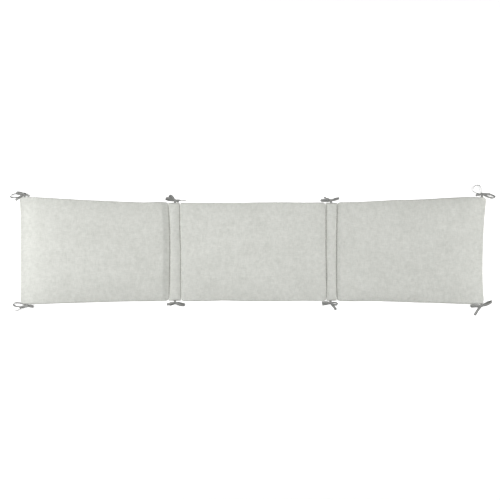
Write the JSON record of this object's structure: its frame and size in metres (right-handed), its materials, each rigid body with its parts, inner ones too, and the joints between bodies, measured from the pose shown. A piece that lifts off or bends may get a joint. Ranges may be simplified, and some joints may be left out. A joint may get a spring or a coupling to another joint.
{
  "type": "crib bumper",
  "caption": "Long padded cloth bumper for a crib: filled panels joined by narrow soft hinge strips, with dark tape ties in bows along both long edges, lying flat on its back.",
  "frame": {"origin": "middle of the flat back of the middle panel, on the surface that the bumper lies on", "axes": "+X along the bumper's length to the right, +Y up its height towards the top edge, +Z out of its face, through the filling"},
  "size_m": [1.9793, 0.5359, 0.025],
  "materials": {
    "panel_cloth": "matte woven cotton, pale grey, finely mottled",
    "hinge_cloth": "matte woven cotton, pale grey, finely mottled",
    "tie_tape": "narrow woven cotton tape, dark grey, matte"
  },
  "bodies": {
    "root": {"panel_left": "panel_cloth", "panel_middle": "panel_cloth", "panel_right": "panel_cloth", "hinge_left": "hinge_cloth", "hinge_right": "hinge_cloth", "tie_left_end_top": "tie_tape", "tie_left_end_bottom": "tie_tape", "tie_left_hinge_top": "tie_tape", "tie_left_hinge_bottom": "tie_tape", "tie_right_hinge_top": "tie_tape", "tie_right_hinge_bottom": "tie_tape", "tie_right_end_top": "tie_tape", "tie_right_end_bottom": "tie_tape"}
  },
  "joints": []
}
